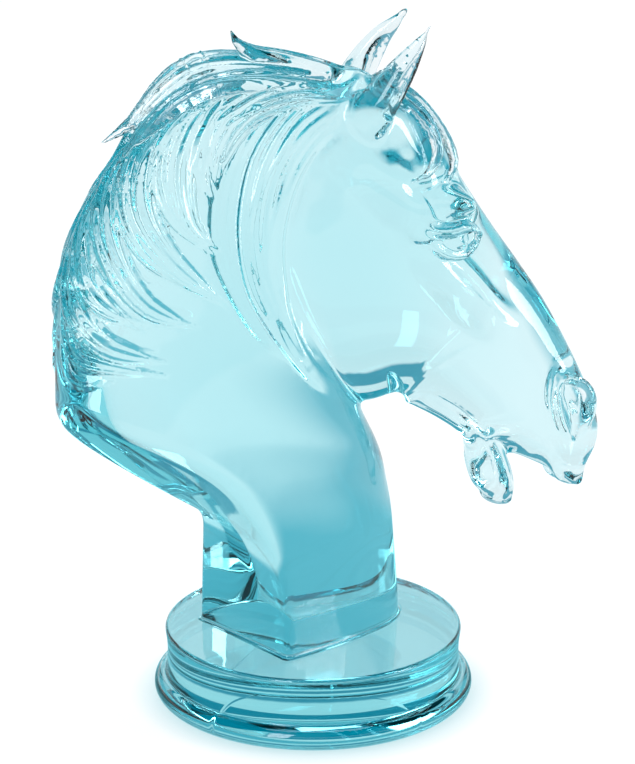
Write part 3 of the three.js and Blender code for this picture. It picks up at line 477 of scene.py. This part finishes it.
# Thick locks along the crest; the first turns its tip up, the second ends in a point behind.
CURLS = [
    Strand([(30, 3, 396, 10, 6), (4, 2, 407, 11, 6.5), (-20, 0, 415, 9, 6), (-37, -3, 420, 7, 5),
            (-47, -5, 427, 4, 3), (-51, -6, 434, .8, .8)], (0, 0, 1), ridges=3, depth=.9),
    Strand([(8, 0, 404, 9, 6), (-18, 2, 409, 12, 8), (-46, 2, 412, 13, 9), (-72, 0, 412, 13, 9),
            (-92, -2, 400, 10, 8), (-110, -3, 382, 5, 5), (-129, -3, 370, .8, .8)], (.3, 0, 1),
           ridges=4, depth=1.3),
    Strand([(-10, -9, 402, 8, 6), (-36, -12, 406, 9, 7), (-62, -13, 405, 9, 7), (-86, -12, 395, 8, 7),
            (-105, -10, 378, 5, 5), (-118, -9, 364, .8, .8)], (.3, -.4, 1), ridges=3, depth=1.2),
    Strand([(-30, 11, 402, 8, 6), (-56, 13, 404, 9, 7), (-84, 12, 396, 8, 7), (-106, 8, 376, 6, 5),
            (-124, 4, 356, .8, .8)], (.3, .4, 1), ridges=3, depth=1.2)]
MANE = mane() + CURLS
THROAT = throat_strands()


def plinth(points):
    """A disc with a slightly hollow wall on a bead at its foot."""
    r, z = np.hypot(points[:, 0], points[:, 1]), points[:, 2]
    wave = np.clip((z - WAIST_FROM) / (PLINTH_TOP - WAIST_FROM), 0, 1)
    wall = r - PLINTH_RADIUS + PLINTH_WAIST * np.sin(np.pi * wave)
    disc = smooth_max(wall, z - PLINTH_TOP, 3.0)
    bead = np.hypot(r - BEAD_RING, z - BEAD_RADIUS) - BEAD_RADIUS
    return smooth_min(disc, bead, 1.2)


def neck_and_post(n):
    """The neck and the post, with the undercut that sweeps from the one into the back of the other."""
    x, y, z = n.T
    share = np.clip((DIP_FROM - y) / DIP_WIDTH, 0, 1.3)**1.3
    dip = UNDERCUT_DIP * share * np.exp(np.minimum(x - POST_BACK, 0) / UNDERCUT_FADE)
    above = z - UNDERCUT_HEIGHT + UNDERCUT_SLOPE * x + UNDERCUT_LEAN * y + dip
    slope = np.sqrt(1 + (UNDERCUT_SLOPE + dip / UNDERCUT_FADE)**2 + UNDERCUT_LEAN**2)
    removed = smooth_max(above / slope, x - POST_BACK, 8)
    return smooth_max(smooth_min(NECK(n), POST(n), 6), -removed, 4 + 8 * ease(z, 60, 170))


def face(h):
    """The head with its ears and forelock, from points that are turned back with it."""
    m = h * (1, 0, 1) + np.abs(h) * (0, 1, 0)
    d = HEAD(h)
    d = smooth_min(d, egg(h, *CHEEK, FACE_AXES, CHEEK_POWER), 10)
    d = smooth_min(d, JAW(h), 8)
    d = smooth_max(d, -egg(m, *MOUTH, FACE_AXES), 6)
    d = smooth_max(d, -egg(m, *TEMPLE_HOLLOW, FACE_AXES), 8)
    d = smooth_min(d, egg(m, *BROW_BONE), 9)
    d = smooth_max(d, -egg(m, *EYE_SOCKET), 5)
    d = smooth_min(d, egg(m, *EYEBALL), 1.0)
    for blend, strand in RIDGES:
        d = add(d, strand, m, blend)
    for blend, strand in CREASES:
        d = carve(d, strand, m, blend)
    for shell, hollow in EARS:
        d = carve(add(d, shell, h, 6), hollow, h, 2.5)
    for strand in FORELOCK:
        d = add(d, strand, h, 2.5)
    return d


def sculpture(points):
    """Distance to the skin of the whole casting, negative inside."""
    points = np.asarray(points, float)
    n = turn(points, -HEAD_TURN * ease(points[:, 2], TURN_FROM, TURN_TO))
    d = neck_and_post(n)
    for strand in MANE:
        d = add(d, strand, n, 2.0)
    d = smooth_min(d, face(turn(points, -HEAD_TURN)), 7)
    for strand in THROAT:
        d = add(d, strand, n, 2.0)
    d = smooth_min(d, plinth(points), 3)
    return np.maximum(d, -points[:, 2])


# Skin of the casting: steps of a grid that is refined only near the skin, how near, and the grid's corners.
STEPS, REACHES = (8.0, 4.0, 2.0, 1.3), (9.0, 4.5, 2.2)
LOW, HIGH = np.array((-200.0, -116.0, -6.0)), np.array((190.0, 112.0, 450.0))
FACES = 192000
CHUNK = 20000
LAST_SETTLE = 0.4
FLAT_BELOW = 0.25
# Corners of a cell of the grid, and its edges as pairs of corners.
CORNERS = np.array([(c & 1, c >> 1 & 1, c >> 2 & 1) for c in range(8)])
EDGES = [(0, 1), (2, 3), (4, 5), (6, 7), (0, 2), (1, 3), (4, 6), (5, 7), (0, 4), (1, 5), (2, 6), (3, 7)]


def everywhere(field, points):
    """The field at many points, worked out in chunks side by side."""
    chunks = [points[i:i + CHUNK] for i in range(0, len(points), CHUNK)]
    with ThreadPoolExecutor(4) as pool:
        return np.concatenate(list(pool.map(field, chunks)))


def sample_grid(field):
    """The field on the finest grid, worked out near the skin and filled in between elsewhere."""
    sizes = [np.floor((HIGH - LOW) / step).astype(int) + 1 for step in STEPS]
    nodes = np.indices(sizes[0]).reshape(3, -1).T
    values = everywhere(field, LOW + STEPS[0] * nodes).reshape(sizes[0])
    for coarse, step, reach, size in zip(STEPS, STEPS[1:], REACHES, sizes[1:]):
        for k in range(3):
            place = np.arange(size[k]) * step / coarse
            i = np.minimum(place.astype(int), values.shape[k] - 2)
            f = np.minimum(place - i, 1).reshape([-1 if j == k else 1 for j in range(3)])
            values = np.take(values, i, k) * (1 - f) + np.take(values, i + 1, k) * f
        near = np.argwhere(np.abs(values) < reach)
        values[tuple(near.T)] = everywhere(field, LOW + step * near)
    return values


def groups(bits):
    """The number of groups of joined corners among those whose bits are set."""
    group = [c if bits >> c & 1 else -1 for c in range(8)]
    for _ in range(4):
        for a, b in EDGES:
            if group[a] >= 0 and group[b] >= 0:
                group[a] = group[b] = min(group[a], group[b])
    return len({g for g in group if g >= 0})


def corner_bits(values):
    """For each cell, one bit for each of its corners that is inside."""
    nx, ny, nz = np.array(values.shape) - 1
    solid = values < 0
    bits = np.zeros((nx, ny, nz), np.uint8)
    for c, (x, y, z) in enumerate(CORNERS):
        bits |= solid[x:nx + x, y:ny + y, z:nz + z].astype(np.uint8) << c
    return bits


def close_pinches(values):
    """Fills the cells where two sheets of skin would meet in one point."""
    pinched = np.array([groups(bits) > 1 or groups(255 - bits) > 1 for bits in range(256)])
    while True:
        cells = np.argwhere(pinched[corner_bits(values)])
        if not len(cells):
            return
        for corner in CORNERS:
            at = tuple((cells + corner).T)
            values[at] = np.minimum(values[at], -0.02)


def skin_of(values, step):
    """One point in each cell that the skin crosses, and a quad around each edge that it crosses."""
    bits = corner_bits(values)
    cells = np.argwhere((bits > 0) & (bits < 255))
    number = np.full(bits.shape, -1, np.int64)
    number[tuple(cells.T)] = np.arange(len(cells))
    total, count = np.zeros((len(cells), 3)), np.zeros(len(cells))
    for a, b in EDGES:
        from_value = values[tuple((cells + CORNERS[a]).T)]
        to_value = values[tuple((cells + CORNERS[b]).T)]
        crossed = (from_value < 0) != (to_value < 0)
        share = from_value[crossed] / (from_value[crossed] - to_value[crossed])
        total[crossed] += CORNERS[a] + share[:, None] * (CORNERS[b] - CORNERS[a])
        count[crossed] += 1
    points = LOW + step * (cells + total / count[:, None])
    quads = []
    for k in range(3):
        along = np.eye(3, dtype=int)[k]
        one, two = np.eye(3, dtype=int)[(k + 1) % 3], np.eye(3, dtype=int)[(k + 2) % 3]
        end = np.array(values.shape) - along
        near, far = values[:end[0], :end[1], :end[2]] < 0, values[along[0]:, along[1]:, along[2]:] < 0
        node = np.argwhere(near != far)
        node = node[(node @ one > 0) & (node @ two > 0)]
        ring = [number[tuple((node - shift).T)] for shift in (one + two, two, 0 * one, one)]
        ring = np.stack(ring, 1)
        outside = ~near[tuple(node.T)]
        ring[outside] = ring[outside][:, ::-1]
        quads.append(ring)
    return points, np.concatenate(quads)


def slope_at(field, points, reach=0.05):
    """The field and its slope, from four points around each point."""
    ways = np.array([(1, -1, -1), (-1, -1, 1), (-1, 1, -1), (1, 1, 1)], float)
    values = [everywhere(field, points + reach * way) for way in ways]
    slope = sum(v[:, None] * way for v, way in zip(values, ways)) / (4 * reach)
    return sum(values) / 4, slope


def settle(field, points, step):
    """The points moved onto the skin, by no more than a step."""
    value, slope = slope_at(field, points)
    move = np.clip(value, -step, step) / np.maximum((slope**2).sum(1), 0.25)
    return points - move[:, None] * slope


def build_casting():
    """The skin as one mesh, thinned out to its number of faces and shaded by the slope of the field."""
    values = sample_grid(sculpture)
    close_pinches(values)
    points, quads = skin_of(values, STEPS[-1])
    points = settle(sculpture, points, STEPS[-1])
    fine = bpy.data.meshes.new("fine")
    fine.from_pydata(points * MM, [], quads.tolist())
    piece = bpy.data.objects.new("aqua_casting", fine)
    bpy.context.scene.collection.objects.link(piece)
    fewer = piece.modifiers.new("fewer", "DECIMATE")
    fewer.ratio = FACES / (2 * len(quads))
    fewer.use_collapse_triangulate = True
    mesh = bpy.data.meshes.new_from_object(piece.evaluated_get(bpy.context.evaluated_depsgraph_get()))
    piece.modifiers.clear()
    piece.data = mesh
    points = np.empty(3 * len(mesh.vertices))
    mesh.vertices.foreach_get("co", points)
    points = settle(sculpture, points.reshape(-1, 3) / MM, LAST_SETTLE)
    points[points[:, 2] < FLAT_BELOW, 2] = 0
    points = np.clip(points, *(np.array(cad_box) / MM))
    slope = slope_at(sculpture, points)[1]
    mesh.vertices.foreach_set("co", (points * MM).ravel())
    mesh.polygons.foreach_set("use_smooth", np.ones(len(mesh.polygons), bool))
    normals = slope / np.linalg.norm(slope, axis=1)[:, None]
    mesh.normals_split_custom_set_from_vertices(normals)
    mesh.name = "aqua_casting"
    return piece


def aqua_casting():
    """Clear aqua glass, whose colour deepens with the way of the light in it, under a faint, uneven haze."""
    material = bpy.data.materials.new("aqua_casting")
    material.use_nodes = True
    nodes, links = material.node_tree.nodes, material.node_tree.links
    shader = nodes["Principled BSDF"]
    shader.inputs["Base Color"].default_value = GLASS_SKIN
    shader.inputs["Transmission Weight"].default_value = 1.0
    shader.inputs["IOR"].default_value = GLASS_IOR
    volume = nodes.new("ShaderNodeVolumeAbsorption")
    volume.inputs["Color"].default_value = GLASS_DEPTH
    volume.inputs["Density"].default_value = GLASS_DENSITY
    links.new(volume.outputs["Volume"], nodes["Material Output"].inputs["Volume"])
    place = nodes.new("ShaderNodeTexCoord")
    haze = nodes.new("ShaderNodeTexNoise")
    haze.inputs["Scale"].default_value = HAZE_SCALE
    haze.inputs["Detail"].default_value = 3
    spread = nodes.new("ShaderNodeMapRange")
    spread.inputs["From Min"].default_value = 0.35
    spread.inputs["From Max"].default_value = 0.75
    spread.inputs["To Min"].default_value = 0.0
    spread.inputs["To Max"].default_value = HAZE_MOST
    links.new(place.outputs["Object"], haze.inputs["Vector"])
    links.new(haze.outputs["Fac"], spread.inputs["Value"])
    links.new(spread.outputs["Result"], shader.inputs["Roughness"])
    return material


def glow(name, rings):
    """A glowing surface whose colour follows the distance in metres from the middle of the floor."""
    material = bpy.data.materials.new(name)
    material.use_nodes = True
    nodes, links = material.node_tree.nodes, material.node_tree.links
    shader = nodes["Principled BSDF"]
    shader.inputs["Base Color"].default_value = (0.12, 0.12, 0.12, 1)
    shader.inputs["Roughness"].default_value = 0.9
    shader.inputs["Emission Strength"].default_value = FLOOR_GLOW
    place = nodes.new("ShaderNodeTexCoord")
    distance = nodes.new("ShaderNodeVectorMath")
    distance.operation = "LENGTH"
    share = nodes.new("ShaderNodeMapRange")
    share.inputs["From Max"].default_value = STAGE_REACH
    ramp = nodes.new("ShaderNodeValToRGB")
    while len(ramp.color_ramp.elements) < len(rings):
        ramp.color_ramp.elements.new(1.0)
    for element, (reach, colour) in zip(ramp.color_ramp.elements, rings):
        element.position = reach / STAGE_REACH
        element.color = (*colour, 1)
    links.new(place.outputs["Object"], distance.inputs[0])
    links.new(distance.outputs["Value"], share.inputs["Value"])
    links.new(share.outputs["Result"], ramp.inputs["Fac"])
    links.new(ramp.outputs["Color"], shader.inputs["Emission Color"])
    return material


def floor(name, material, height):
    """A round floor that curves up into a wall all around."""
    bend = [(STAGE_RADIUS - STAGE_BEND * (1 - sin(a)), STAGE_BEND * (1 - cos(a)))
            for a in np.linspace(0, radians(90), 16)]
    profile = [(0.15, 0.0), *bend, (STAGE_RADIUS, STAGE_WALL)]
    turns = 64
    points = [(r * cos(t), r * sin(t), z) for t in np.linspace(0, radians(360), turns, endpoint=False)
              for r, z in profile]
    points.append((0, 0, 0))
    rows = len(profile)
    faces = [(len(points) - 1, i * rows, (i + 1) % turns * rows) for i in range(turns)]
    for i in range(turns):
        j = (i + 1) % turns
        faces += [(i * rows + k, i * rows + k + 1, j * rows + k + 1, j * rows + k)
                  for k in range(rows - 1)]
    mesh = bpy.data.meshes.new(name)
    mesh.from_pydata(points, [], faces)
    mesh.polygons.foreach_set("use_smooth", np.ones(len(mesh.polygons), bool))
    mesh.materials.append(material)
    made = bpy.data.objects.new(name, mesh)
    made.location.z = height
    bpy.context.scene.collection.objects.link(made)
    return made


def stage():
    """A pale floor and wall with a painted contact shadow at the plinth's foot, and a second pair that only
    shows through the casting and in its gloss.

    The second pair has two blue-green bands of painted shade: one around the plinth, a painted shadow of the
    casting, and one halfway up the wall, a painted dark band in what the casting refracts and reflects."""
    # The seen floor's colour inside 0.09 m, fading to white by 0.115 m, is a painted contact shadow at the
    # plinth's foot.
    white, painted_contact_shadow = (1, 1, 1), (0.5, 0.75, 0.8)
    # Seen only through the casting and in its gloss: a painted shadow of the casting under and around the
    # plinth, and a painted dark band halfway up the wall.
    painted_shade_under_plinth, shade, deep = (0.45, 0.78, 0.84), (0.09, 0.48, 0.58), (0.0, 0.30, 0.42)
    pale = [(0.09, painted_contact_shadow), (0.115, white)]
    painted_shade_bands = [(0.09, painted_shade_under_plinth), (0.12, shade), (0.33, shade), (0.46, white),
              (5.04, white), (5.06, deep), (5.30, deep), (5.34, white)]
    seen = floor("floor", glow("pale", pale), -2 * FLOOR_GAP)
    seen.visible_transmission = seen.visible_glossy = False
    through = floor("floor_through_glass", glow("painted_shade_bands", painted_shade_bands), -FLOOR_GAP)
    through.visible_camera = through.visible_diffuse = through.visible_shadow = False


def softbox(name, place, aim, size, watts):
    """A soft rectangular light, which the camera doesn't see."""
    light = bpy.data.lights.new(name, "AREA")
    light.shape = "RECTANGLE"
    light.size, light.size_y = size
    light.energy = watts
    lamp = bpy.data.objects.new(name, light)
    lamp.location = place
    lamp.visible_camera = False
    lamp.rotation_euler = (Vector(aim) - Vector(place)).to_track_quat("-Z", "Y").to_euler()
    bpy.context.scene.collection.objects.link(lamp)


def lighting():
    """Blue-green surroundings above the wall, and soft white light from above and from both sides."""
    world = bpy.data.worlds.new("studio")
    world.use_nodes = True
    background = world.node_tree.nodes["Background"]
    background.inputs["Color"].default_value = SURROUNDINGS
    background.inputs["Strength"].default_value = 1.0
    bpy.context.scene.world = world
    for name, (place, aim, size, watts) in SOFTBOXES.items():
        softbox(name, place, aim, size, watts)


def camera():
    """The photograph's view."""
    a, e = radians(CAMERA_AZIMUTH), radians(CAMERA_ELEVATION)
    back = Vector((sin(a) * cos(e), -cos(a) * cos(e), sin(e)))
    right = Vector((cos(a), sin(a), 0))
    data = bpy.data.cameras.new("camera")
    data.sensor_fit = "VERTICAL"
    data.sensor_height = SENSOR
    data.lens = FOCAL_PIXELS * SENSOR / FRAME_HEIGHT
    data.clip_end = 20
    view = bpy.data.objects.new("camera", data)
    turning = Matrix((right, back.cross(right), back)).transposed()
    place = CAMERA_AIM + CAMERA_DISTANCE * back + CAMERA_SIDESTEP * right
    view.matrix_world = Matrix.Translation(place) @ turning.to_4x4()
    bpy.context.scene.collection.objects.link(view)
    bpy.context.scene.camera = view


casting = build_casting()
casting.data.materials.append(aqua_casting())
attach(casting, "root")
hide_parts("horse_head_casting")
stage()
lighting()
camera()

scene = bpy.context.scene
scene.view_settings.view_transform = "Standard"
scene.cycles.max_bounces = 12
scene.cycles.transmission_bounces = 12
scene.cycles.glossy_bounces = 4
scene.cycles.use_denoising = True
